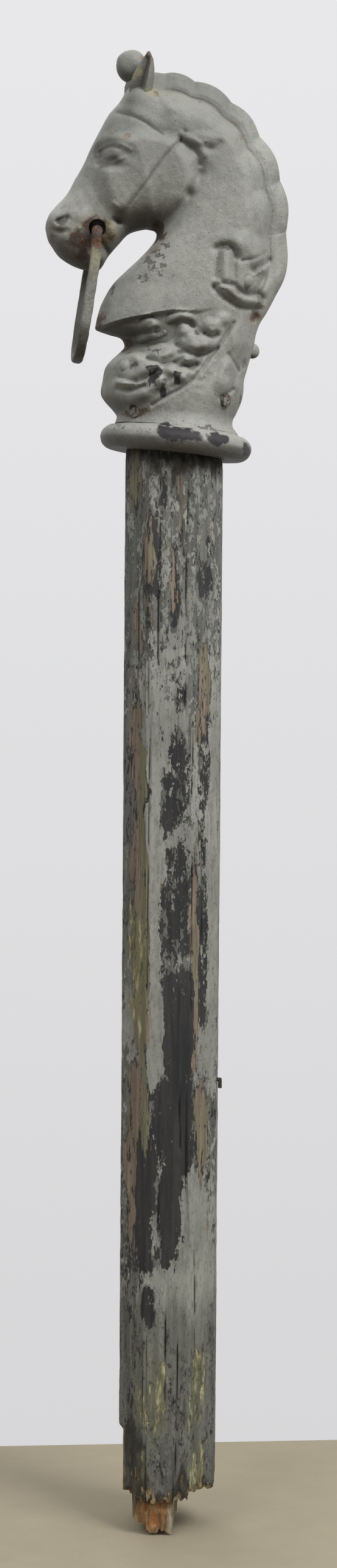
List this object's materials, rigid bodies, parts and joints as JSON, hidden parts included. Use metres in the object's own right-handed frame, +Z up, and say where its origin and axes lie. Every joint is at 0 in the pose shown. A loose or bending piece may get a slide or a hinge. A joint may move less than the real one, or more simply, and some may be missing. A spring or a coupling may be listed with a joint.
{
  "type": "horse head hitching post",
  "caption": "Tall hitching post: a hollow iron horse head with a garlanded neck and a swinging tie link in its mouth, on the tenon of a weathered eight-sided timber post with a broken foot.",
  "frame": {"origin": "on the post's axis, at the height of the lowest tip of its broken foot", "axes": "+Z up along the post, the horse faces -X, and the side that the picture shows is at -Y"},
  "size_m": [0.2542, 0.1598, 1.5524],
  "materials": {
    "painted_iron": "weathered matte paint",
    "link_iron": "worn paint over rust",
    "rusty_iron": "rusted",
    "timber": "flaking paint"
  },
  "bodies": {
    "standing_post": {"post": "timber", "head_left_half": "painted_iron", "head_right_half": "painted_iron", "muzzle_rivet": "rusty_iron", "poll_rivet": "painted_iron", "neck_rivet": "painted_iron", "chest_rivet": "painted_iron", "fixing_screws": "rusty_iron", "bent_nail": "rusty_iron"},
    "tie_link": {"mouth_link": "link_iron"}
  },
  "joints": [
    {"name": "link_swing", "type": "hinge", "parent": "standing_post", "child": "tie_link", "pos_m": [-0.08453, 0, 1.36205], "axis": [0, 1, 0], "range_deg": [-9, 165]}
  ]
}
